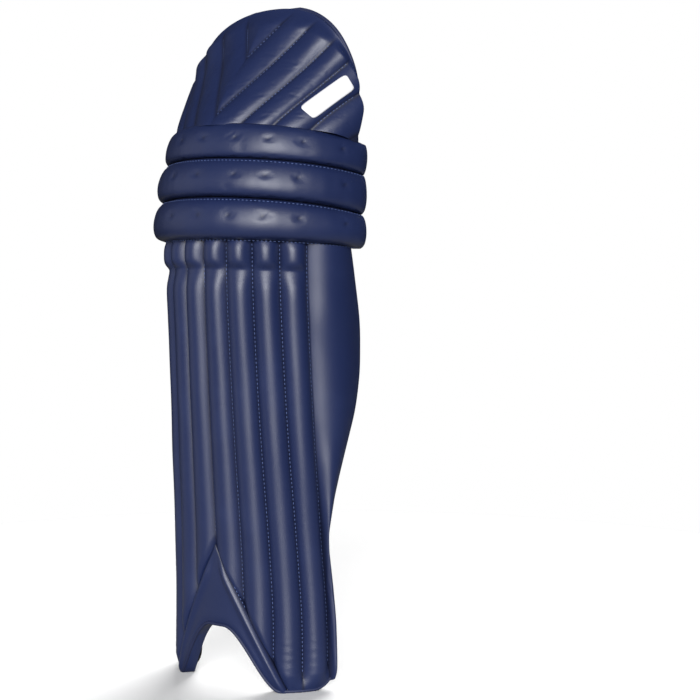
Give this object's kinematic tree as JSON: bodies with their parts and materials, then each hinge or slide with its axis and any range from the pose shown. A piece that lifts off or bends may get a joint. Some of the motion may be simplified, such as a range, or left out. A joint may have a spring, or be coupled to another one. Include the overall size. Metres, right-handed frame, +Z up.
{
  "type": "batting pad",
  "caption": "Navy cricket leg guard with fluted shin face, padded knee rolls, domed knee flap, side wing, mesh inner bolsters and hook-and-loop straps, standing on its two feet.",
  "frame": {"origin": "bottom centre of the whole pad, on the surface its feet stand on", "axes": "+Z up along the leg, the front facing -Y, the side wing on +X"},
  "size_m": [0.244, 0.1477, 0.7002],
  "materials": {
    "navy_cover": "smooth coated leathercloth with a soft sheen",
    "white_cover": "plain white leathercloth",
    "white_lining": "plain white woven lining",
    "black_lining": "black knitted lining",
    "mesh_cover": "grey open mesh over black",
    "black_webbing": "black woven webbing",
    "ring_plastic": "black moulded plastic",
    "tab_rubber": "dark grey moulded rubber",
    "tab_trim": "raised silver-grey print"
  },
  "bodies": {
    "root": {"shin_face": "navy_cover", "instep_panel": "navy_cover", "side_wing": "navy_cover", "side_panel": "navy_cover", "knee_roll_top": "navy_cover", "knee_roll_middle": "navy_cover", "knee_roll_bottom": "navy_cover", "knee_flap": "navy_cover", "flap_piping": "navy_cover", "flap_patch": "white_cover", "flap_lining": "white_lining", "centre_panel": "white_lining", "knee_panel": "black_lining", "wing_lining": "black_lining", "side_lining": "black_lining", "foot_lining_left": "black_lining", "foot_lining_right": "black_lining", "instep_lining": "black_lining", "bolster_left": "mesh_cover", "bolster_right": "mesh_cover", "top_strap": "black_webbing", "top_anchor": "black_webbing", "top_ring": "ring_plastic", "middle_strap": "black_webbing", "middle_anchor": "black_webbing", "middle_ring": "ring_plastic", "bottom_strap": "black_webbing", "bottom_anchor": "black_webbing", "bottom_ring": "ring_plastic", "middle_tab": "tab_rubber", "middle_trim": "tab_trim", "bottom_tab": "tab_rubber", "bottom_trim": "tab_trim"}
  },
  "joints": []
}
